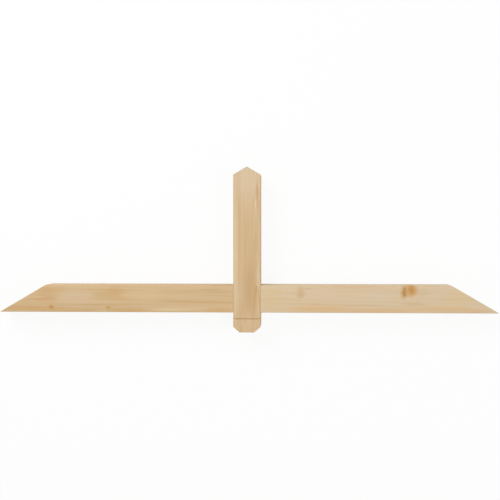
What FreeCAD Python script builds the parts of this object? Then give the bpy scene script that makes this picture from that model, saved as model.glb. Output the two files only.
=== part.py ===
"""Timber gable bracket: a king post with a level beam tenoned into each side of it.

The bracket dresses the peak of a gable.  The post's peak and the outer ends of both beams
are cut on the two slopes of the roof, so one straight rake line runs from each beam's tip
up to the peak.  The bracket is modelled lying on its back:

    X  across the gable, from the left beam's tip to the right beam's tip
    Y  up the gable, from the post's foot to its peak
    Z  out from the wall, from the back face at 0 to the front face

The origin is on the floor, under the middle of the bracket's outline.
"""

import FreeCAD
import Part
import Sketcher

import os

INCH = 25.4
LEFT, RIGHT = -1, 1

# Driving dimensions in millimetres, apart from the roof pitch: (alias, value, meaning).
DRIVING = [
    ("span", 96 * INCH, "tip to tip along the bottom of the beams"),
    ("pitch_rise", 7, "roof pitch: rise for each pitch_run"),
    ("pitch_run", 12, "roof pitch: run for each pitch_rise"),
    ("timber_depth", 5.25 * INCH, "every timber, back face to front face"),
    ("beam_height", 5.25 * INCH, "beam, bottom edge to top edge"),
    ("post_width", 5.25 * INCH, "post, side to side"),
    ("foot_drop", 97.0, "how far the post hangs below the beams"),
    ("foot_chamfer_run", 31.0, "foot chamfer, measured across the post"),
    ("foot_chamfer_rise", 27.0, "foot chamfer, measured up the post"),
    ("groove_up", 65.5, "foot to the middle of the groove"),
    ("groove_width", 8.0, "mouth of the V groove"),
    ("groove_deep", 5.0, "depth of the V groove"),
    ("edge_radius", 3.0, "easing of the timbers' long edges"),
    ("tenon_length", 42.0, "how far each tenon enters the post"),
    ("tenon_height", 90.0, "tenon, measured up the gable"),
    ("tenon_thickness", 45.0, "tenon, measured out from the wall"),
    ("tenon_clearance", 0.3, "play on every cheek, edge and end of a tenon"),
]

# Sizes and places that follow from the driving ones: (alias, formula).
DERIVED = [
    ("half_span", "=span / 2"),
    ("half_post", "=post_width / 2"),
    ("slope", "=pitch_rise / pitch_run"),
    ("total_height", "=foot_drop + half_span * slope"),
    ("foot_y", "=-total_height / 2"),
    ("peak_y", "=total_height / 2"),
    ("shoulder_y", "=peak_y - half_post * slope"),
    ("foot_flat_x", "=half_post - foot_chamfer_run"),
    ("foot_side_y", "=foot_y + foot_chamfer_rise"),
    ("beam_bottom_y", "=foot_y + foot_drop"),
    ("beam_top_y", "=beam_bottom_y + beam_height"),
    ("rake_corner_x", "=half_span - beam_height / slope"),
    ("groove_middle_y", "=foot_y + groove_up"),
    ("groove_bottom_y", "=groove_middle_y - groove_width / 2"),
    ("groove_top_y", "=groove_middle_y + groove_width / 2"),
    ("groove_floor_z", "=timber_depth - groove_deep"),
    ("tenon_end_x", "=half_post - tenon_length"),
    ("tenon_bottom_y", "=beam_bottom_y + (beam_height - tenon_height) / 2"),
    ("tenon_top_y", "=tenon_bottom_y + tenon_height"),
    ("tenon_back_z", "=(timber_depth - tenon_thickness) / 2"),
    ("mortise_end_x", "=tenon_end_x - tenon_clearance"),
    ("mortise_bottom_y", "=tenon_bottom_y - tenon_clearance"),
    ("mortise_top_y", "=tenon_top_y + tenon_clearance"),
    ("mortise_thickness", "=tenon_thickness + 2 * tenon_clearance"),
    ("mortise_front_z", "=tenon_back_z + tenon_thickness + tenon_clearance"),
]


def make_sheet(doc):
    """The spreadsheet that every sketch and feature reads its sizes from."""
    sheet = doc.addObject("Spreadsheet::Sheet", "Sizes")
    rows = [(alias, str(value), meaning) for alias, value, meaning in DRIVING]
    rows += [(alias, formula, "worked out") for alias, formula in DERIVED]
    for row, (alias, content, meaning) in enumerate(rows, start=1):
        sheet.set(f"A{row}", alias)
        sheet.set(f"B{row}", content)
        sheet.set(f"C{row}", meaning)
        sheet.setAlias(f"B{row}", alias)
    doc.recompute()
    return sheet


def make_body(doc, name):
    """A body whose label names its file."""
    body = doc.addObject("PartDesign::Body", name)
    body.Label = name
    return body


def draw_outline(body, sheet, name, corners, plane="XY_Plane", lift=None):
    """A sketch on one of the body's own planes, holding one closed outline of straight lines.

    Each corner is a pair of places along the sketch's axes, and a place is a sign and an
    alias of the sheet.  lift, if given, is the alias of the sketch's height off its plane.
    """
    sketch = body.newObject("Sketcher::SketchObject", name)
    support = next(item for item in body.Origin.OriginFeatures if item.Role == plane)
    sketch.AttachmentSupport = [(support, "")]
    sketch.MapMode = "FlatFace"
    if lift:
        sketch.setExpression("AttachmentOffset.Base.z", f"Sizes.{lift}")

    points = [
        FreeCAD.Vector(*[sign * float(sheet.get(alias)) for sign, alias in corner], 0)
        for corner in corners
    ]
    for start, end in zip(points, points[1:] + points[:1]):
        sketch.addGeometry(Part.LineSegment(start, end), False)
    last = len(points) - 1
    for line in range(len(points)):
        before = line - 1 if line else last
        sketch.addConstraint(Sketcher.Constraint("Coincident", before, 2, line, 1))

    for line, corner in enumerate(corners):
        for axis, (sign, alias), value in zip(("DistanceX", "DistanceY"), corner, points[line]):
            hold = sketch.addConstraint(Sketcher.Constraint(axis, -1, 1, line, 1, value))
            sketch.setExpression(f"Constraints[{hold}]", f"{sign} * Sizes.{alias}")
    return sketch


def add_pad(body, sketch, length, name):
    """Pad a sketch along its normal by the length that the sheet holds under an alias."""
    pad = body.newObject("PartDesign::Pad", name)
    pad.Profile = sketch
    pad.setExpression("Length", f"Sizes.{length}")
    body.Document.recompute()
    return pad


def cut_pocket(body, sketch, name, length=None):
    """Cut a sketch against its normal by an aliased length, or else right through both ways."""
    pocket = body.newObject("PartDesign::Pocket", name)
    pocket.Profile = sketch
    if length:
        pocket.setExpression("Length", f"Sizes.{length}")
    else:
        pocket.Type = "ThroughAll"
        pocket.Midplane = True
    body.Document.recompute()
    return pocket


def ease_long_edges(body, base, grain, name):
    """Round the four edges that run along the grain."""
    edges = []
    for number, edge in enumerate(base.Shape.Edges, start=1):
        along = (edge.lastVertex().Point - edge.firstVertex().Point).normalize()
        if abs(along.dot(grain)) > 0.999:
            edges.append(f"Edge{number}")
    if len(edges) != 4:
        raise RuntimeError(f"{body.Label}: {len(edges)} long edges where a timber has four")
    fillet = body.newObject("PartDesign::Fillet", name)
    fillet.Base = (base, edges)
    fillet.setExpression("Radius", "Sizes.edge_radius")
    body.Document.recompute()
    return fillet


def make_king_post(doc, sheet):
    """The upright: peak cut to both roof slopes, chamfered foot, V groove and two mortises."""
    body = make_body(doc, "king_post")
    face = [
        ((LEFT, "foot_flat_x"), (1, "foot_y")),
        ((RIGHT, "foot_flat_x"), (1, "foot_y")),
        ((RIGHT, "half_post"), (1, "foot_side_y")),
        ((RIGHT, "half_post"), (1, "shoulder_y")),
        ((0, "half_post"), (1, "peak_y")),
        ((LEFT, "half_post"), (1, "shoulder_y")),
        ((LEFT, "half_post"), (1, "foot_side_y")),
    ]
    outline = draw_outline(body, sheet, "PostFace", face)
    timber = add_pad(body, outline, "timber_depth", "PostTimber")
    ease_long_edges(body, timber, FreeCAD.Vector(0, 1, 0), "PostEasing")

    groove = [
        ((1, "groove_bottom_y"), (1, "timber_depth")),
        ((1, "groove_middle_y"), (1, "groove_floor_z")),
        ((1, "groove_top_y"), (1, "timber_depth")),
    ]
    section = draw_outline(body, sheet, "GrooveSection", groove, plane="YZ_Plane")
    cut_pocket(body, section, "Groove")

    for side, name in ((LEFT, "LeftMortise"), (RIGHT, "RightMortise")):
        mouth = [
            ((side, "mortise_end_x"), (1, "mortise_bottom_y")),
            ((side, "half_post"), (1, "mortise_bottom_y")),
            ((side, "half_post"), (1, "mortise_top_y")),
            ((side, "mortise_end_x"), (1, "mortise_top_y")),
        ]
        outline = draw_outline(body, sheet, f"{name}Face", mouth, lift="mortise_front_z")
        cut_pocket(body, outline, name, length="mortise_thickness")
    return body


def make_beam(doc, sheet, name, side):
    """A level arm: outer end cut to the roof slope, tenon at the post."""
    body = make_body(doc, name)
    face = [
        ((side, "half_span"), (1, "beam_bottom_y")),
        ((side, "half_post"), (1, "beam_bottom_y")),
        ((side, "half_post"), (1, "beam_top_y")),
        ((side, "rake_corner_x"), (1, "beam_top_y")),
    ]
    outline = draw_outline(body, sheet, f"{name}_face", face)
    timber = add_pad(body, outline, "timber_depth", f"{name}_timber")
    ease_long_edges(body, timber, FreeCAD.Vector(1, 0, 0), f"{name}_easing")

    tenon = [
        ((side, "half_post"), (1, "tenon_bottom_y")),
        ((side, "tenon_end_x"), (1, "tenon_bottom_y")),
        ((side, "tenon_end_x"), (1, "tenon_top_y")),
        ((side, "half_post"), (1, "tenon_top_y")),
    ]
    outline = draw_outline(body, sheet, f"{name}_tenon_face", tenon, lift="tenon_back_z")
    add_pad(body, outline, "tenon_thickness", f"{name}_tenon")
    return body


def check_document(doc, bodies):
    """Stop if any feature failed or any piece isn't one sound solid."""
    for item in doc.Objects:
        if {"Invalid", "Error"} & set(item.State):
            raise RuntimeError(f"{item.Name} failed: {item.State}")
    for body in bodies:
        shape = body.Shape
        if shape.isNull() or not shape.isValid() or len(shape.Solids) != 1:
            raise RuntimeError(f"{body.Label} isn't one valid solid")


def main():
    doc = FreeCAD.newDocument("TimberGableBracket")
    sheet = make_sheet(doc)
    bodies = [
        make_king_post(doc, sheet),
        make_beam(doc, sheet, "left_beam", LEFT),
        make_beam(doc, sheet, "right_beam", RIGHT),
    ]
    doc.recompute()
    check_document(doc, bodies)

    os.makedirs("parts", exist_ok=True)
    for body in bodies:
        body.Shape.exportStep(f"parts/{body.Label}.step")
        box = body.Shape.BoundBox
        print(
            f"{body.Label}: {box.XLength:.1f} x {box.YLength:.1f} x {box.ZLength:.1f} mm,"
            f" {body.Shape.Volume / 1e6:.3f} litres"
        )


main()
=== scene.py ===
# %% [markdown]
# # A timber gable bracket
#
# The bracket dresses the peak of a gable: a king post with a level beam tenoned into each side.
# It is bare softwood, planed on its long faces and sawn at its ends.  It lies on its back here,
# so X runs across the gable, +Y points up the gable and +Z points out from the wall.
#
# This lesson models the three timbers over the construction frame, and then finishes them.
# The shape is simple, so most of the work is in the wood itself: growth rings that run through
# each timber in three dimensions, streaks of colour, knots, and ends that show the rings.
#
# The frame comes first.  It holds the same three timbers, plainly made and at their real size,
# and the size and place of every timber below is read from it.

# %% Load the frame
import math
from dataclasses import dataclass, field

import bmesh
import bpy
from mathutils import Matrix, Vector


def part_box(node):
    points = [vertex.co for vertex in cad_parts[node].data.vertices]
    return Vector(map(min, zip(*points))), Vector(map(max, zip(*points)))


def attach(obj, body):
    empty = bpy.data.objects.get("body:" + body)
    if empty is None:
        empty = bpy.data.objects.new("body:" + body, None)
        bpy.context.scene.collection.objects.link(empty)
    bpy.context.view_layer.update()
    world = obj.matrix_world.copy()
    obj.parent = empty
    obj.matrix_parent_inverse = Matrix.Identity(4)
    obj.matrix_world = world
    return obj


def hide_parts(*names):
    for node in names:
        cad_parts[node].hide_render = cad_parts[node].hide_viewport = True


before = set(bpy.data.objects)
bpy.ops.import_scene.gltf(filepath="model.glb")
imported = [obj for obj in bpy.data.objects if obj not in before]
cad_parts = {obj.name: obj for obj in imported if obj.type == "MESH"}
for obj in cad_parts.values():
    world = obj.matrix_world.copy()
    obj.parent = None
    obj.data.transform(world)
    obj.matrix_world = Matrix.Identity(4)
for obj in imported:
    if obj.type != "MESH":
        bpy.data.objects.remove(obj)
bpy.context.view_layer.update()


# %% [markdown]
# ## The sizes that the looks need
#
# The post's box gives the timbers' section and the peak, and a beam's box gives the tips and the
# bottom edge.  The beam's other end is its tenon's.  The roof pitch is the slope of the line from
# a tip to the peak, so it needs no number of its own.

# %% Read the sizes
post_low, post_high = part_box("king_post")
beam_low, beam_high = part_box("left_beam")

HALF_POST = post_high.x
HALF_SPAN = -beam_low.x
FRONT = post_high.z
PEAK = post_high.y
FOOT = post_low.y
BEAM_BOTTOM = beam_low.y
BEAM_TOP = beam_high.y
PITCH = (PEAK - BEAM_BOTTOM) / HALF_SPAN
TENON_END = -beam_high.x

print(f"section {2 * HALF_POST:.4f} x {FRONT:.4f} m, pitch {PITCH * 12:.2f} in 12")

# %% [markdown]
# ## Working by hand, without a hand
#
# A modelling operator acts on whatever is selected.  A modeller selects with the mouse.  Here the
# edges or corners are picked by where they lie, which still works when a size changes.
#
# Each timber starts as a cube that is scaled to its box.  That place and size are then applied to
# the mesh, so the object itself stays at the origin and the wood's pattern can't slide.


# %% Start a timber and pick its parts
SELECT_MODES = {"edges": "EDGE", "verts": "VERT"}


def start_block(name, low, high):
    """Add a cube, stretch it to a box and leave it in edit mode."""
    bpy.ops.object.select_all(action="DESELECT")
    bpy.ops.mesh.primitive_cube_add(size=1, location=(low + high) / 2)
    block = bpy.context.active_object
    block.name = name
    block.data.name = name
    block.scale = high - low
    bpy.ops.object.transform_apply(location=True, rotation=True, scale=True)
    bpy.ops.object.mode_set(mode="EDIT")
    return block


def pick(block, kind, wanted):
    """Select the edges or corners that pass a test, and nothing else."""
    bpy.ops.mesh.select_all(action="DESELECT")
    bpy.ops.mesh.select_mode(type=SELECT_MODES[kind])
    mesh = bmesh.from_edit_mesh(block.data)
    found = [item for item in getattr(mesh, kind) if wanted(item)]
    for item in found:
        item.select = True
    mesh.select_flush_mode()
    bmesh.update_edit_mesh(block.data)
    print(f"{block.name}: picked {len(found)} {kind}")


# %% [markdown]
# ## Easing the long edges
#
# A planer leaves sharp corners, and they splinter, so every long edge is eased to a small round.
# The round could be a ready-made tube quarter at each corner, but a bevel with a few segments
# cuts it from the block itself, which keeps the timber one closed skin.

# %% Ease the long edges
EASED = 0.003
EASED_STEPS = 4


def runs_along(edge, axis):
    """Whether an edge runs along an axis, given as 0, 1 or 2."""
    way = edge.verts[1].co - edge.verts[0].co
    return abs(way[axis]) > 0.999 * way.length


def ease_long_edges(block, axis):
    """Round the four edges along the grain."""
    pick(block, "edges", lambda edge: runs_along(edge, axis))
    bpy.ops.mesh.bevel(offset=EASED, segments=EASED_STEPS, profile=0.5, affect="EDGES")


# %% [markdown]
# ## Sawing
#
# A saw cut is a plane that drops all on its far side, and bisect does exactly that.  The sawn
# ends are left nearly sharp.  One very narrow bevel catches the light along each cut, as the
# fuzzed arris of a real saw cut does.

# %% Saw and break the arris
SAWN_ARRIS = 0.0006


def saw_off(block, point, normal):
    """Cut a block by a plane, drop the part on the normal's side and close the cut."""
    bpy.ops.mesh.select_all(action="SELECT")
    bpy.ops.mesh.bisect(plane_co=point, plane_no=normal, use_fill=True, clear_outer=True)


def break_arris(block, is_cut):
    """Take the edges of every sawn face off by a hair's breadth."""
    pick(block, "edges", lambda edge: any(is_cut(face) for face in edge.link_faces))
    bpy.ops.mesh.bevel(offset=SAWN_ARRIS, segments=1, affect="EDGES")


# %% [markdown]
# ## Hidden joints
#
# Each beam has a stub tenon that fits a mortise in the post's side.  They don't show, but the
# meshes are a true record of the timbers, so they are there.  Both are boxes, which a Boolean
# modifier adds to the beam or cuts out of the post.  The mortise is the tenon with some play.
# A timber's box doesn't tell a tenon's height and thickness, so they are written here.

# %% Tenons and mortises
TENON_HEIGHT = 0.090
TENON_THICKNESS = 0.045


def tenon_box(side, play=0.0):
    """The box that a tenon fills, or with some play the box of its mortise."""
    middle_y = (BEAM_BOTTOM + BEAM_TOP) / 2
    middle_z = FRONT / 2
    half_y = TENON_HEIGHT / 2 + play
    half_z = TENON_THICKNESS / 2 + play
    ends = sorted((side * (TENON_END - play), side * (HALF_POST + play)))
    low = Vector((ends[0], middle_y - half_y, middle_z - half_z))
    high = Vector((ends[1], middle_y + half_y, middle_z + half_z))
    return low, high


def box_joint(block, box, operation):
    """Add a box to a timber, or cut one out of it."""
    bpy.ops.object.mode_set(mode="OBJECT")
    tool = start_block("joint_tool", *box)
    bpy.ops.object.mode_set(mode="OBJECT")
    bpy.ops.object.select_all(action="DESELECT")
    bpy.context.view_layer.objects.active = block
    block.select_set(True)
    change = block.modifiers.new("joint", "BOOLEAN")
    change.operation = operation
    change.solver = "EXACT"
    change.object = tool
    bpy.ops.object.modifier_apply(modifier="joint")
    bpy.data.objects.remove(tool, do_unlink=True)


print("the right tenon is", round(HALF_POST - TENON_END, 4), "m long")

# %% [markdown]
# ## The beams
#
# Each beam is a square timber whose outer end is sawn to the roof slope.  Moving the top outer
# edge of a block inwards would rake it, but sawing the finished stick is how it is really made,
# and it also cuts the eased edges cleanly.  So the block is eased first and sawn second.


# %% Model the beams
def make_beam(name, side):
    """A level arm, with its raked end on the given side."""
    ends = sorted((side * HALF_POST, side * HALF_SPAN))
    low = Vector((ends[0], BEAM_BOTTOM, 0))
    high = Vector((ends[1], BEAM_TOP, FRONT))
    slope = Vector((side * PITCH, 1, 0)).normalized()

    beam = start_block(name, low, high)
    ease_long_edges(beam, 0)
    saw_off(beam, Vector((side * HALF_SPAN, BEAM_BOTTOM, 0)), slope)
    break_arris(beam, lambda face: face.normal.dot(slope) > 0.999)
    box_joint(beam, tenon_box(side), "UNION")
    return beam


left_beam = make_beam("left_timber", -1)
right_beam = make_beam("right_timber", 1)
print("beams:", [len(beam.data.polygons) for beam in (left_beam, right_beam)], "faces each")

# %% [markdown]
# ## The groove above the foot
#
# One pass of a router across the front face makes a shallow V.  It could be cut with a wedge and
# a Boolean, but three lines scored round the post and the middle one pushed in make the same V
# with fewer faces.  Scaling the middle line to nothing along Z lays all of it on the V's floor,
# the parts on the eased edges too.  The groove's size and place are in no box, so they are
# written here, and so are the foot's chamfers further down.

# %% Cut the groove
GROOVE_UP = 0.0655
GROOVE_WIDTH = 0.008
GROOVE_DEEP = 0.005


def score(block, point, normal):
    """Draw a line round a block where a plane meets it."""
    bpy.ops.mesh.select_all(action="SELECT")
    bpy.ops.mesh.bisect(plane_co=point, plane_no=normal)


def near(value, target, slack=1e-5):
    """Whether two places along an axis are the same place."""
    return abs(value - target) < slack


def cut_groove(post):
    """Push the middle of three scored lines into the front face."""
    middle = FOOT + GROOVE_UP
    floor = FRONT - GROOVE_DEEP
    for offset in (-GROOVE_WIDTH / 2, 0, GROOVE_WIDTH / 2):
        score(post, Vector((0, middle + offset, 0)), Vector((0, 1, 0)))
    pick(post, "verts", lambda vert: near(vert.co.y, middle) and vert.co.z > floor)
    bpy.ops.transform.resize(value=(1, 1, 0), center_override=(0, middle, floor))


# %% [markdown]
# ## The king post
#
# The post is the same stock stood upright.  Two saw cuts make its peak and two more chamfer its
# foot.  The groove comes before the saw and the mortises come last, so that every cut meets a
# plain stick.

# %% Model the post
FOOT_RUN = 0.031
FOOT_RISE = 0.027
PLAY = 0.0003


def is_post_end(face):
    """Whether a face is one of the post's sawn ends: it faces along the grain and not out."""
    return abs(face.normal.y) > 0.3 and abs(face.normal.z) < 0.01


def make_post():
    """The upright: peaked top, chamfered foot, groove and two mortises."""
    post = start_block("post_timber", post_low, post_high)
    ease_long_edges(post, 1)
    cut_groove(post)
    for side in (-1, 1):
        saw_off(post, Vector((0, PEAK, 0)), Vector((side * PITCH, 1, 0)).normalized())
        chamfer = Vector((side * FOOT_RISE, -FOOT_RUN, 0)).normalized()
        saw_off(post, Vector((side * HALF_POST, FOOT + FOOT_RISE, 0)), chamfer)
    break_arris(post, is_post_end)
    for side in (-1, 1):
        box_joint(post, tenon_box(side, PLAY), "DIFFERENCE")
    return post


king_post = make_post()
print("post:", len(king_post.data.polygons), "faces")

# %% [markdown]
# ## Smooth rounds, crisp cuts
#
# An eased edge rolls the light smoothly from one face to the next, and a sawn corner is crisp.
# Shading by angle gives both.  The round's narrow faces meet at less than this angle and are
# shaded as one surface, and every sharper corner stays sharp.

# %% Shade the timbers
SMOOTH_BELOW = math.radians(32)

for timber in (king_post, left_beam, right_beam):
    bpy.ops.object.select_all(action="DESELECT")
    bpy.context.view_layer.objects.active = timber
    timber.select_set(True)
    bpy.ops.object.shade_smooth_by_angle(angle=SMOOTH_BELOW)
    print(timber.name, "measures", [round(side, 4) for side in timber.dimensions], "m")

# %% [markdown]
# ## How wood is coloured
#
# Wood isn't a coat of paint.  Every year the tree lays down one more shell round its pith: pale,
# soft earlywood first, and then a thinner band of dense, orange latewood that ends abruptly.
# A plank's face is a slice through those shells.  Where the face lies square to them they show as
# fine straight lines, and where it lies along them they spread into arches.
#
# So the colour is worked out from the point's distance to the pith, in the timber's own space.
# The same rings then meet at every corner, and the sawn ends show them as arcs.
# These helpers make nodes and wire them, so that the sums below read as sums.


# %% Make and wire nodes
def add_node(tree, kind, feeds=None, **settings):
    """Add a node, set its settings, and feed its inputs from values or from other nodes."""
    made = tree.nodes.new(kind)
    for setting, value in settings.items():
        setattr(made, setting, value)
    for name, source in (feeds or {}).items():
        if isinstance(source, bpy.types.NodeSocket):
            tree.links.new(source, made.inputs[name])
        else:
            made.inputs[name].default_value = source
    return made


def calc(tree, operation, *values):
    """One sum: a Math node over numbers or sockets."""
    feeds = dict(enumerate(values))
    return add_node(tree, "ShaderNodeMath", feeds, operation=operation).outputs[0]


def combine(tree, x, y, z):
    """A vector made of three numbers or sockets."""
    return add_node(tree, "ShaderNodeCombineXYZ", {"X": x, "Y": y, "Z": z}).outputs[0]


def split_up(tree, vector):
    """A vector's three parts, by name."""
    return add_node(tree, "ShaderNodeSeparateXYZ", {"Vector": vector}).outputs


def join(tree, operation, first, second):
    """One sum over two vectors."""
    feeds = {0: first, 1: second}
    return add_node(tree, "ShaderNodeVectorMath", feeds, operation=operation).outputs[0]


# %% [markdown]
# ## Noise and fades
#
# Nothing in wood repeats, so its patterns start from noise.  Stretching the place that the noise
# reads draws it out along the grain: a scale of 2 along and 130 across gives long thin streaks.
# A fade then turns a soft value into how much of something shows.


# %% Soft noise and smooth fades
def noise(tree, vector, scale, detail=2.0, roughness=0.5):
    """Soft noise about nought, stretched by a scale for each axis."""
    stretched = join(tree, "MULTIPLY", vector, scale)
    feeds = {"Vector": stretched, "Scale": 1.0, "Detail": detail, "Roughness": roughness}
    soft = add_node(tree, "ShaderNodeTexNoise", feeds).outputs["Fac"]
    return calc(tree, "SUBTRACT", soft, 0.5)


def fade(tree, value, start, end, low=0.0, high=1.0):
    """Carry a value smoothly from one range to another, and hold it at the ends."""
    feeds = {"Value": value, "From Min": start, "From Max": end, "To Min": low, "To Max": high}
    made = add_node(tree, "ShaderNodeMapRange", feeds, interpolation_type="SMOOTHSTEP")
    return made.outputs["Result"]


# %% [markdown]
# ## Colours
#
# Colours are written as a screen shows them, 0 to 255, because that is how a maker would match
# them by eye.  The shader mixes light, not screen values, so each is turned into linear light.
# A tint lays one colour over another, and a ramp runs through several.


# %% Mix colours
def colour(red, green, blue):
    """A screen colour, 0 to 255, as the linear colour that the shader mixes."""
    linear = []
    for value in (red, green, blue):
        share = value / 255
        linear.append(share / 12.92 if share <= 0.04045 else ((share + 0.055) / 1.055) ** 2.4)
    return (*linear, 1.0)


def tint(tree, amount, below, above):
    """Mix from one colour to another."""
    made = add_node(tree, "ShaderNodeMix", data_type="RGBA")
    for name, source in (("Factor_Float", amount), ("A_Color", below), ("B_Color", above)):
        socket = next(item for item in made.inputs if item.identifier == name)
        if isinstance(source, bpy.types.NodeSocket):
            tree.links.new(source, socket)
        else:
            socket.default_value = source
    return next(item for item in made.outputs if item.identifier == "Result_Color")


def ramp(tree, value, stops):
    """A colour ramp through (place, colour) stops."""
    made = add_node(tree, "ShaderNodeValToRGB", {"Fac": value})
    elements = made.color_ramp.elements
    while len(elements) < len(stops):
        elements.new(0.5)
    for element, (place, shade) in zip(elements, stops):
        element.position = place
        element.color = shade
    return made.outputs["Color"]


print("a screen grey of 128 is", round(colour(128, 128, 128)[0], 3), "in linear light")


# %% [markdown]
# ## The grain's own space
#
# The pattern is worked out with X along the grain, Y across the face and Z out of it, whichever
# way the timber lies.  Two of the timbers lie along X and one along Y, so one recipe does for all.
#
# Stains, streaks and knots are soft ovals in that space.  A gradient texture, moved and stretched
# by a Mapping node, makes one: 1 at its centre and 0 at its edge.


# %% Places and soft ovals
def timber_space(tree, grain):
    """Object coordinates as (along the grain, across the face, out of the face)."""
    place = add_node(tree, "ShaderNodeTexCoord").outputs["Object"]
    axes = split_up(tree, place)
    order = {"X": ("X", "Y", "Z"), "Y": ("Y", "X", "Z")}[grain]
    return combine(tree, *[axes[name] for name in order])


def oval(tree, place, centre, size):
    """1 at the centre of a soft oval, falling to 0 at its edge."""
    feeds = {"Vector": place, "Location": centre, "Scale": size}
    moved = add_node(tree, "ShaderNodeMapping", feeds, vector_type="TEXTURE").outputs[0]
    blot = add_node(tree, "ShaderNodeTexGradient", {"Vector": moved}, gradient_type="SPHERICAL")
    return blot.outputs["Fac"]


# %% [markdown]
# ## Ragged outlines
#
# A plain oval would look painted on.  Reading it at a place that noise has moved tears its
# outline.  Halos get a coarse tear.  Marks are also combed: each thin bundle of fibres is slid
# some way along the grain, which feathers their ends.  Knots only get lumpy.
#
# Every noise here has a fineness along the grain, across it and out of the face.  The higher the
# number, the finer the noise is that way.

# %% Move the places about
TEAR_FINENESS = (11.0, 75.0, 75.0)
TEAR_ALONG = 0.03
TEAR_ACROSS = 0.008
COMB_FINENESS = (5.0, 190.0, 190.0)
COMB_ALONG = 0.22
LUMP_FINENESS = (34.0, 34.0, 34.0)
LUMP_ALONG = 0.008
LUMP_ACROSS = 0.012


def push(tree, place, along, across):
    """A place moved along and across the grain."""
    return join(tree, "ADD", place, combine(tree, along, across, 0.0))


def shake(tree, place, amount, along, across):
    """A place moved by some noise, at most half of these distances in metres either way."""
    along = calc(tree, "MULTIPLY", amount, along)
    across = calc(tree, "MULTIPLY", amount, across)
    return push(tree, place, along, across)


def ragged_places(tree, place):
    """The places to read halos, marks and knots at."""
    ragged = noise(tree, place, TEAR_FINENESS, detail=3.0)
    torn = shake(tree, place, ragged, TEAR_ALONG, TEAR_ACROSS)
    bundles = noise(tree, place, COMB_FINENESS, detail=3.0, roughness=0.65)
    combed = shake(tree, torn, bundles, COMB_ALONG, 0.0)
    lumps = noise(tree, place, LUMP_FINENESS, detail=1.0)
    lumpy = shake(tree, place, lumps, LUMP_ALONG, LUMP_ACROSS)
    return torn, combed, lumpy


# %% [markdown]
# ## What makes each stick its own
#
# The three timbers were sawn from different sticks of fir.  They share one recipe, and a `Stick`
# holds what differs: which way its grain runs, where the pith lies, its colours, and the marks
# on its front face.  A `Mark` is a stain or streak, and a `Knot` is a branch's end.  Their places
# and half sizes are along the timber and across its face, in metres.

# %% Sticks, marks and knots
@dataclass
class Mark:
    """A soft stain or streak in the wood under the front face."""

    place: tuple
    half_size: tuple
    shade: tuple
    strength: float


@dataclass
class Knot:
    """The end of a branch.  Its clarity is how plainly its rings and its split show."""

    place: tuple
    half_size: tuple
    wood: tuple
    rim: tuple
    halo: tuple
    clarity: float = 1.0


@dataclass
class Stick:
    """One timber's wood.  The pith is given across the face and out of it.

    If a router crossed the timber, routed is where, along the grain.
    """

    name: str
    grain: str
    pith: tuple
    body: tuple
    warm: tuple
    pale: tuple
    late: tuple
    routed: float | None = None
    marks: list = field(default_factory=list)
    knots: list = field(default_factory=list)


# %% [markdown]
# ## Grain that parts round a knot
#
# A trunk's fibres flow round a branch as a stream flows round a stone.  Bending every line would
# be hard, so the place that the pattern reads is bent instead: near a knot it is drawn in towards
# the knot's middle line, and that spreads the lines apart.

# %% Bend the grain
SPREAD = 0.85
HALO_REACH = (2.5, 1.9, 0.14)


def knot_oval(tree, place, knot, reach):
    """A soft oval on a knot's middle.

    Its reach is how many times as long and as wide as the knot it is, and its depth in metres.
    """
    longer, wider, depth = reach
    half_length, half_width = knot.half_size
    size = (longer * half_length, wider * half_width, depth)
    return oval(tree, place, (*knot.place, FRONT), size)


def flow_round(tree, stick, place, halos):
    """The place to read the grain at, so that it parts round every knot."""
    level = split_up(tree, place)["Y"]
    shift = 0.0
    for knot, halo in zip(stick.knots, halos):
        gap = calc(tree, "SUBTRACT", knot.place[1], level)
        shift = calc(tree, "MULTIPLY_ADD", gap, fade(tree, halo, 0.0, 0.9, 0.0, SPREAD), shift)
    return push(tree, place, 0.0, shift)


# %% [markdown]
# ## Growth rings
#
# The distance from the pith, divided by the width of a year's growth, counts the years.  The
# whole part of that count names a ring and the rest is the season.  The trunk tapers, so the
# distance changes a little with height, which is what draws arches where a face lies along the
# rings.  The pith wanders, the rings wobble, and no two years grow the same.

# %% Count the years
RING_WIDTH = 0.0034
TRUNK_TAPER = 0.014
PITH_WANDER = 0.05
WANDER_FINENESS = (0.8, 3.5, 3.5)
RING_WOBBLE = 0.005
WOBBLE_FINENESS = (2.6, 24.0, 24.0)
YEAR_TO_YEAR = 2.2
YEARS_FINENESS = (0.23, 1.0, 1.0)


def growth_rings(tree, stick, place):
    """The distance from the pith, the ring's number and the season from 0 to 1."""
    wander = noise(tree, place, WANDER_FINENESS, detail=1.0)
    wobble = noise(tree, place, WOBBLE_FINENESS, detail=2.0)
    axes = split_up(tree, place)
    across = calc(tree, "SUBTRACT", axes["Y"], stick.pith[0])
    across = calc(tree, "MULTIPLY_ADD", wander, PITH_WANDER, across)
    out = calc(tree, "SUBTRACT", axes["Z"], stick.pith[1])
    across = calc(tree, "MULTIPLY", across, across)
    radius = calc(tree, "SQRT", calc(tree, "MULTIPLY_ADD", out, out, across))
    radius = calc(tree, "MULTIPLY_ADD", axes["X"], TRUNK_TAPER, radius)
    radius = calc(tree, "MULTIPLY_ADD", wobble, RING_WOBBLE, radius)
    years = calc(tree, "DIVIDE", radius, RING_WIDTH)
    good_years = noise(tree, combine(tree, years, 0.0, 0.0), YEARS_FINENESS, detail=1.0)
    years = calc(tree, "MULTIPLY_ADD", good_years, YEAR_TO_YEAR, years)
    return radius, calc(tree, "FLOOR", years), calc(tree, "FRACT", years)


print("about", round(2 * HALF_POST / RING_WIDTH), "years across a timber")

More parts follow.
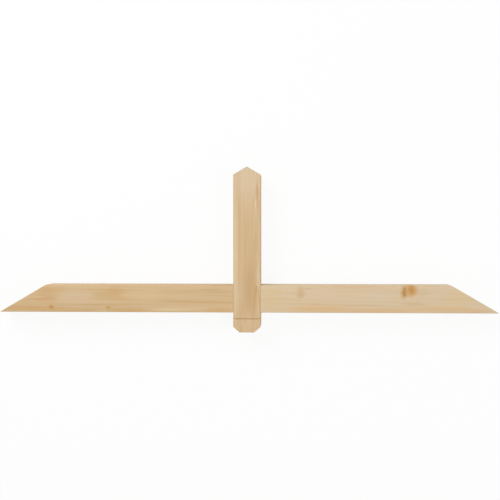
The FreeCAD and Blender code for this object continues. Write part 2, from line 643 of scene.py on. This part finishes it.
# %% [markdown]
# ## Latewood
#
# The dark line of a ring is late-summer wood.  It builds up slowly through the season and stops
# dead when winter comes, so its ramp is lopsided.  A white noise over the year's number makes
# some years' lines strong and others faint.


# %% Draw the dark lines
def grey(level):
    """A grey for a ramp that carries a number."""
    return (level, level, level, 1.0)


SEASON_STOPS = [
    (0.0, grey(0.12)),
    (0.4, grey(0.05)),
    (0.76, grey(0.5)),
    (0.92, grey(1.0)),
    (1.0, grey(0.2)),
]
FAINTEST_LINE = 0.30
STRONGER_BY = 0.45


def latewood(tree, year, season):
    """How much of the dark late-summer wood shows."""
    share = ramp(tree, season, SEASON_STOPS)
    whim = add_node(tree, "ShaderNodeTexWhiteNoise", {"W": year}, noise_dimensions="1D")
    strength = calc(tree, "MULTIPLY_ADD", whim.outputs["Value"], STRONGER_BY, FAINTEST_LINE)
    return calc(tree, "MULTIPLY", share, strength)


# %% [markdown]
# ## Body colour and marks
#
# Between the lines the colour drifts, in slow bands that follow the rings and in clouds that
# don't.  Both only move between a stick's own three shades.  Over that go its marks, which reach
# a few centimetres into the wood, so they carry on over the eased edges.

# %% Colour the body and lay the marks
BANDS_ALONG = 1.2
BANDS_OUT = 70.0
CLOUD_FINENESS = (3.2, 15.0, 15.0)
CLOUD_STRENGTH = 0.8
MARK_DEPTH = 0.035


def body_colour(tree, stick, place, radius):
    """The wood's colour before its rings: slow bands and clouds between three shades."""
    along = calc(tree, "MULTIPLY", split_up(tree, place)["X"], BANDS_ALONG)
    outward = calc(tree, "MULTIPLY", radius, BANDS_OUT)
    bands = noise(tree, combine(tree, along, outward, 0.0), (1.0, 1.0, 1.0), detail=2.0)
    clouds = noise(tree, place, CLOUD_FINENESS, detail=3.0)
    wood = tint(tree, fade(tree, bands, -0.08, 0.24), colour(*stick.body), colour(*stick.warm))
    return tint(tree, fade(tree, clouds, 0.0, 0.26, 0.0, CLOUD_STRENGTH), wood, colour(*stick.pale))


def lay_marks(tree, stick, place, wood):
    """Tint the wood with each of the stick's marks."""
    for mark in stick.marks:
        blot = oval(tree, place, (*mark.place, FRONT), (*mark.half_size, MARK_DEPTH))
        strength = fade(tree, blot, 0.0, 0.85, 0.0, mark.strength)
        wood = tint(tree, strength, wood, colour(*mark.shade))
    return wood


# %% [markdown]
# ## Knots
#
# A knot is a branch cut across.  It has a rim of bark and resin, fine rings of its own and often
# a drying split, and it stains a halo in the wood round it.  Distance from the knot's middle
# drives all of that: a ramp gives the rim and the heart, and a sine wave gives the rings.
# The split is not cut into the mesh, so its dark line is painted shade where the crack would be.

# %% Lay the knots
KNOT_REACH = (1.0, 1.0, 0.09)
SPLIT_REACH = (0.62, 0.07, 0.03)
HALO_STAIN = 0.95
KNOT_RINGS = 34.0
KNOT_LINES = 0.5
# The split's colour is painted shade: a dark line that stands in for an open crack the mesh lacks.
SPLIT_PAINTED_SHADE = colour(112, 74, 40)


def lay_knots(tree, stick, place, halos, wood):
    """Colour each knot's halo, rim and rings, and paint shade where the split at its heart lies."""
    for knot, halo in zip(stick.knots, halos):
        inner, rim, stain = colour(*knot.wood), colour(*knot.rim), colour(*knot.halo)
        lines = KNOT_LINES * knot.clarity
        wood = tint(tree, fade(tree, halo, 0.04, 0.62, 0.0, HALO_STAIN), wood, stain)
        core = knot_oval(tree, place, knot, KNOT_REACH)
        heart = ramp(tree, core, [(0.0, stain), (0.14, rim), (0.3, inner), (0.8, inner), (1.0, rim)])
        rings = calc(tree, "SINE", calc(tree, "MULTIPLY", core, KNOT_RINGS))
        heart = tint(tree, fade(tree, rings, -0.2, 1.0, 0.0, lines), heart, rim)
        # Painted shade: the split is darkened where an open crack would be shaded.
        split = knot_oval(tree, place, knot, SPLIT_REACH)
        heart = tint(tree, fade(tree, split, 0.0, 0.5, 0.0, lines), heart, SPLIT_PAINTED_SHADE)
        wood = tint(tree, fade(tree, core, 0.0, 0.26), wood, heart)
    return wood


# %% [markdown]
# ## Fibres and sawn ends
#
# Close up, wood is bundles of fibres: streaks a few millimetres wide, and in them hairs a
# millimetre wide and finer.  On a sawn end the fibres are torn across, so the end drinks light
# and looks darker.  How squarely the grain is cut is read from the way that the surface faces.
# A router shears its groove's walls clean, so they stay as pale as the face.

# %% Shade the fibres
STREAK_FINENESS = (2.4, 130.0, 130.0)
STREAK_CONTRAST = 0.16
FIBRE_FINENESS = (10.0, 900.0, 900.0)
FIBRE_CONTRAST = 0.14
SAWN_DARKER = -0.15


def sawn_across(tree, stick, place):
    """1 where a saw cut across the grain, and 0 on planed or routed wood."""
    normal = add_node(tree, "ShaderNodeTexCoord").outputs["Normal"]
    facing = split_up(tree, normal)[stick.grain]
    sawn = fade(tree, calc(tree, "ABSOLUTE", facing), 0.3, 0.55)
    if stick.routed is None:
        return sawn
    away = calc(tree, "SUBTRACT", split_up(tree, place)["X"], stick.routed)
    clear = fade(tree, calc(tree, "ABSOLUTE", away), GROOVE_WIDTH / 2, GROOVE_WIDTH)
    return calc(tree, "MULTIPLY", sawn, clear)


def shade_fibres(tree, place, fibres, sawn, wood):
    """Lighten and darken the wood by its streaks, its fibres and its sawn ends."""
    streaks = noise(tree, place, STREAK_FINENESS, detail=3.0, roughness=0.6)
    light = calc(tree, "MULTIPLY_ADD", streaks, STREAK_CONTRAST, 1.0)
    light = calc(tree, "MULTIPLY_ADD", fibres, FIBRE_CONTRAST, light)
    light = calc(tree, "MULTIPLY_ADD", sawn, SAWN_DARKER, light)
    return join(tree, "MULTIPLY", wood, combine(tree, light, light, light))


# %% [markdown]
# ## Sheen and relief
#
# Dry planed wood has a faint sheen, a little stronger on the hard latewood and weaker on a sawn
# end.  The relief is tiny: latewood stands about a tenth of a millimetre proud of the planed
# face, and the saw leaves fine ridges.  Shapes that small are bump, not geometry.

# %% Roughness and bump
PLANED_ROUGHNESS = 0.62
LATE_POLISH = -0.12
FIBRE_ROUGHNESS = 0.2
SAWN_ROUGHNESS = 0.2
LATE_RELIEF = 0.00012
FIBRE_RELIEF = 0.00008
SAW_RELIEF = 0.00035
RIDGE_FINENESS = (260.0, 260.0, 9.0)
BUMP_STRENGTH = 0.8
DRY_WOOD_GLOSS = 0.35


def roughen(tree, late, fibres, sawn):
    """How rough the wood is at each point."""
    rough = calc(tree, "MULTIPLY_ADD", late, LATE_POLISH, PLANED_ROUGHNESS)
    rough = calc(tree, "MULTIPLY_ADD", fibres, FIBRE_ROUGHNESS, rough)
    return calc(tree, "MULTIPLY_ADD", sawn, SAWN_ROUGHNESS, rough)


def raise_grain(tree, place, late, fibres, sawn):
    """The surface's tilt from its raised grain and saw marks, in metres of relief."""
    ridges = noise(tree, place, RIDGE_FINENESS, detail=2.0)
    relief = calc(tree, "MULTIPLY", late, LATE_RELIEF)
    relief = calc(tree, "MULTIPLY_ADD", fibres, FIBRE_RELIEF, relief)
    relief = calc(tree, "MULTIPLY_ADD", calc(tree, "MULTIPLY", ridges, sawn), SAW_RELIEF, relief)
    feeds = {"Height": relief, "Strength": BUMP_STRENGTH, "Distance": 1.0}
    return add_node(tree, "ShaderNodeBump", feeds).outputs["Normal"]


# %% [markdown]
# ## The whole recipe
#
# The order is the order in which the wood came to be: the grain parts round its knots, the rings
# grow, the body takes its colour and stains, the knots sit in it, and the mill cuts the fibres.


# %% Make one timber's material
def make_fir(stick):
    """The whole material for one timber."""
    material = bpy.data.materials.new(stick.name)
    material.use_nodes = True
    tree = material.node_tree
    shader = tree.nodes["Principled BSDF"]

    still = timber_space(tree, stick.grain)
    torn, combed, lumpy = ragged_places(tree, still)
    halos = [knot_oval(tree, torn, knot, HALO_REACH) for knot in stick.knots]
    place = flow_round(tree, stick, still, halos)
    radius, year, season = growth_rings(tree, stick, place)
    late = latewood(tree, year, season)

    wood = body_colour(tree, stick, place, radius)
    wood = lay_marks(tree, stick, combed, wood)
    wood = tint(tree, late, wood, colour(*stick.late))
    wood = lay_knots(tree, stick, lumpy, halos, wood)

    fibres = noise(tree, place, FIBRE_FINENESS, detail=2.0, roughness=0.6)
    sawn = sawn_across(tree, stick, place)
    wood = shade_fibres(tree, place, fibres, sawn, wood)
    tree.links.new(wood, shader.inputs["Base Color"])
    tree.links.new(roughen(tree, late, fibres, sawn), shader.inputs["Roughness"])
    tree.links.new(raise_grain(tree, place, late, fibres, sawn), shader.inputs["Normal"])
    shader.inputs["Specular IOR Level"].default_value = DRY_WOOD_GLOSS
    print(stick.name, "has", len(tree.nodes), "nodes")
    return material


# %% [markdown]
# ## The post's wood
#
# The post's head is pale and faintly pink, and the wood turns browner towards the foot.  One
# pale wedge of earlywood shows high on its right side, between two darker streaks.  The pith lies
# inside the post, so its face shows arches.

# %% The post's stick
post_stick = Stick(
    name="post_fir",
    grain="Y",
    pith=(0.046, FRONT - 0.070),
    body=(213, 184, 144),
    warm=(206, 172, 126),
    pale=(216, 192, 156),
    late=(188, 149, 102),
    routed=FOOT + GROOVE_UP,
)
post_stick.marks = [
    Mark((0.38, -0.004), (0.26, 0.090), (219, 199, 170), 0.75),
    Mark((0.04, 0.010), (0.26, 0.055), (207, 176, 131), 0.45),
    Mark((-0.20, 0.006), (0.19, 0.050), (203, 169, 126), 0.75),
    Mark((-0.17, 0.018), (0.22, 0.032), (197, 161, 115), 0.55),
    Mark((-0.13, 0.040), (0.26, 0.013), (194, 156, 108), 0.42),
    Mark((-0.16, 0.055), (0.26, 0.007), (220, 196, 154), 0.45),
    Mark((0.00, -0.056), (0.48, 0.016), (221, 202, 167), 0.80),
    Mark((0.235, 0.040), (0.060, 0.009), (229, 210, 178), 0.90),
    Mark((0.250, 0.050), (0.080, 0.007), (193, 155, 108), 0.60),
    Mark((0.265, 0.030), (0.080, 0.006), (200, 166, 120), 0.50),
    Mark((-0.365, 0.000), (0.050, 0.075), (218, 189, 150), 0.75),
]
print("post:", len(post_stick.marks), "marks,", len(post_stick.knots), "knots")

# %% [markdown]
# ## The left beam's wood
#
# The left beam is the browner one, with clouded amber patches and two small knots near its bottom
# edge, one orange and one yellow.  Its pith lay well outside the stick, so its lines run straight.

# %% The left beam's stick
left_stick = Stick(
    name="left_fir",
    grain="X",
    pith=(-0.42, FRONT - 0.16),
    body=(212, 183, 141),
    warm=(205, 171, 122),
    pale=(216, 190, 151),
    late=(190, 152, 103),
)
left_stick.marks = [
    Mark((-1.04, -0.288), (0.22, 0.014), (207, 165, 113), 0.75),
    Mark((-0.98, -0.225), (0.09, 0.048), (202, 166, 118), 0.72),
    Mark((-1.01, -0.243), (0.08, 0.012), (205, 160, 113), 0.75),
    Mark((-0.84, -0.230), (0.14, 0.070), (213, 189, 156), 0.75),
    Mark((-0.700, -0.224), (0.070, 0.022), (200, 168, 120), 0.65),
    Mark((-0.640, -0.212), (0.060, 0.050), (203, 166, 112), 0.80),
    Mark((-0.50, -0.225), (0.13, 0.055), (220, 189, 146), 0.75),
    Mark((-0.72, -0.272), (0.25, 0.006), (198, 162, 112), 0.60),
    Mark((-0.35, -0.292), (0.21, 0.012), (225, 202, 156), 0.80),
    Mark((-0.60, -0.297), (0.13, 0.010), (211, 169, 114), 0.65),
    Mark((-0.12, -0.292), (0.11, 0.013), (212, 172, 118), 0.75),
    Mark((-0.16, -0.196), (0.10, 0.005), (190, 153, 108), 0.70),
    Mark((-0.15, -0.208), (0.09, 0.004), (192, 156, 110), 0.60),
    Mark((-0.30, -0.206), (0.13, 0.005), (198, 162, 116), 0.45),
]
left_stick.knots = [
    Knot((-0.962, -0.283), (0.012, 0.010), (197, 152, 98), (187, 140, 86), (206, 165, 112)),
    Knot((-0.681, -0.2865), (0.011, 0.008), (196, 163, 108), (188, 152, 96), (205, 174, 120)),
]
print("left beam:", len(left_stick.marks), "marks,", len(left_stick.knots), "knots")

# %% [markdown]
# ## The right beam's wood
#
# The right beam is paler and pinker.  An amber band runs along its bottom edge, a faint knot
# stands near the post, and two knots touch near the top edge.  Their rings show less than those
# of the left beam's knots.

# %% The right beam's stick
right_stick = Stick(
    name="right_fir",
    grain="X",
    pith=(-0.47, FRONT - 0.22),
    body=(218, 196, 163),
    warm=(215, 188, 148),
    pale=(219, 198, 170),
    late=(204, 173, 132),
)
right_stick.marks = [
    Mark((0.12, -0.235), (0.11, 0.080), (216, 191, 148), 0.65),
    Mark((0.35, -0.215), (0.13, 0.070), (221, 196, 168), 0.55),
    Mark((0.64, -0.225), (0.11, 0.060), (216, 196, 170), 0.60),
    Mark((0.91, -0.215), (0.09, 0.050), (215, 195, 166), 0.55),
    Mark((0.84, -0.210), (0.045, 0.045), (206, 183, 144), 0.50),
    Mark((1.02, -0.235), (0.11, 0.055), (218, 193, 148), 0.65),
    Mark((0.36, -0.287), (0.24, 0.026), (220, 183, 135), 0.85),
    Mark((0.66, -0.294), (0.26, 0.017), (219, 183, 137), 0.80),
    Mark((0.96, -0.288), (0.24, 0.024), (219, 185, 138), 0.80),
    Mark((1.10, -0.298), (0.09, 0.012), (216, 175, 130), 0.55),
    Mark((0.52, -0.180), (0.32, 0.008), (212, 178, 136), 0.65),
    Mark((0.285, -0.190), (0.045, 0.006), (203, 172, 130), 0.70),
    Mark((0.80, -0.264), (0.08, 0.010), (205, 172, 124), 0.65),
    Mark((0.56, -0.270), (0.12, 0.004), (203, 171, 128), 0.65),
]
right_stick.knots = [
    Knot((0.262, -0.210), (0.014, 0.025), (206, 176, 139), (203, 172, 134), (211, 183, 147), 0.2),
    Knot((0.764, -0.204), (0.012, 0.024), (180, 141, 86), (182, 142, 88), (204, 163, 108), 0.5),
    Knot((0.796, -0.195), (0.017, 0.024), (194, 148, 87), (192, 145, 84), (207, 161, 103), 0.4),
]
print("right beam:", len(right_stick.marks), "marks,", len(right_stick.knots), "knots")

# %% [markdown]
# ## Finishing the timbers
#
# Each timber gets the material of its own stick.  Then it takes its place in the frame: it rides
# on the bracket's one body, and the plain construction node that it stands for is hidden.

# %% Finish the timbers
pieces = [
    (king_post, post_stick, "king_post", "post_timber"),
    (left_beam, left_stick, "left_beam", "left_timber"),
    (right_beam, right_stick, "right_beam", "right_timber"),
]
for piece, stick, node, slot in pieces:
    piece.data.materials.clear()
    piece.data.materials.append(make_fir(stick))
    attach(piece, "root")
    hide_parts(node)

# %% [markdown]
# ## The floor
#
# A pale floor lies just under the bracket.  A studio would light it until it was white, but that
# light would bounce back onto the wood.  Here a glow that lights nothing, and that only the
# camera sees, straight on or in a gloss, gives nine tenths of the floor's look.  The last tenth
# is the lit floor, which keeps the bracket's soft shadow.

# %% Lay the floor
FLOOR_SIZE = 60
FLOOR_DROP = 0.0005
GLOW_SHARE = 0.91
FLOOR_WHITE = (0.9, 0.9, 0.9, 1)


def seen_rays(tree):
    """1 for what the camera sees, straight on, in a gloss or through glass."""
    rays = add_node(tree, "ShaderNodeLightPath").outputs
    seen = calc(tree, "MAXIMUM", rays["Is Camera Ray"], rays["Is Glossy Ray"])
    return calc(tree, "MAXIMUM", seen, rays["Is Transmission Ray"])


def make_floor_paint():
    """Matt white paint, mostly hidden from the camera by a plain white glow."""
    material = bpy.data.materials.new("studio_white")
    material.use_nodes = True
    tree = material.node_tree
    paint = tree.nodes["Principled BSDF"]
    paint.inputs["Base Color"].default_value = FLOOR_WHITE
    paint.inputs["Roughness"].default_value = 0.9
    glow = add_node(tree, "ShaderNodeEmission", {"Color": (1, 1, 1, 1), "Strength": 1.0})
    share = calc(tree, "MULTIPLY", seen_rays(tree), GLOW_SHARE)
    feeds = {"Fac": share, 1: paint.outputs["BSDF"], 2: glow.outputs["Emission"]}
    both = add_node(tree, "ShaderNodeMixShader", feeds)
    tree.links.new(both.outputs["Shader"], tree.nodes["Material Output"].inputs["Surface"])
    return material


bpy.ops.object.select_all(action="DESELECT")
bpy.ops.mesh.primitive_plane_add(size=FLOOR_SIZE, location=(0, 0, -FLOOR_DROP))
floor = bpy.context.active_object
floor.name = "studio_floor"
floor.data.materials.append(make_floor_paint())
print("floor", FLOOR_SIZE, "m across")

# %% [markdown]
# ## The light
#
# Plain soft light shows the wood's own colour best.  The sky gives about half of it from all
# round, and looks white where the camera sees it.  A large key panel up the gable and to the left
# gives the eased edges a bright side, and a weaker fill from the other side keeps the shadows
# open.  The strengths are set so that a colour renders about as it is written.

# %% Hang the lights
SKY_ON_WOOD = 0.53
SKY_SEEN = 1.0
KEY_WATTS = 165
FILL_WATTS = 70


def add_panel(name, place, aim, size, watts):
    """A soft square light panel, aimed at a point."""
    bpy.ops.object.select_all(action="DESELECT")
    bpy.ops.object.light_add(type="AREA", location=place)
    panel = bpy.context.active_object
    panel.name = name
    panel.data.size = size
    panel.data.energy = watts
    turn = (aim - Vector(place)).to_track_quat("-Z", "Y")
    panel.rotation_euler = turn.to_euler()
    print(name, "at", place, "with", watts, "W")


world = bpy.data.worlds.new("studio")
world.use_nodes = True
sky = world.node_tree.nodes["Background"]
sky.inputs["Color"].default_value = (1.0, 1.0, 1.0, 1)
strength = fade(world.node_tree, seen_rays(world.node_tree), 0.0, 1.0, SKY_ON_WOOD, SKY_SEEN)
world.node_tree.links.new(strength, sky.inputs["Strength"])
bpy.context.scene.world = world

middle = Vector((0, 0, FRONT))
add_panel("key_panel", (-2.6, 3.0, 4.2), middle, 3.0, KEY_WATTS)
add_panel("fill_panel", (3.4, -1.2, 4.6), middle, 4.0, FILL_WATTS)

# %% [markdown]
# ## The camera
#
# The camera looks almost straight down on the lying bracket, through a short telephoto lens.  It
# stands a little to the right of the middle and a little up the gable from it.  To keep the
# picture level, it is turned by three directions: back towards the eye, right, and up the gable.

# %% Set the camera
LENS = 65
SENSOR = 36
EYE = Vector((0.2015, 0.093, 4.5216))
LOOKS_AT = Vector((0.0155, -0.0017, FRONT))

lens = bpy.data.cameras.new("camera")
lens.lens = LENS
lens.sensor_width = SENSOR
camera = bpy.data.objects.new("camera", lens)
bpy.context.scene.collection.objects.link(camera)
backward = (EYE - LOOKS_AT).normalized()
rightward = Vector((0, 1, 0)).cross(backward).normalized()
upward = backward.cross(rightward)
camera.location = EYE
camera.rotation_euler = Matrix((rightward, upward, backward)).transposed().to_euler()
bpy.context.scene.camera = camera
bpy.context.scene.view_settings.view_transform = "Standard"
print("camera", round((EYE - LOOKS_AT).length, 2), "m from the front face")
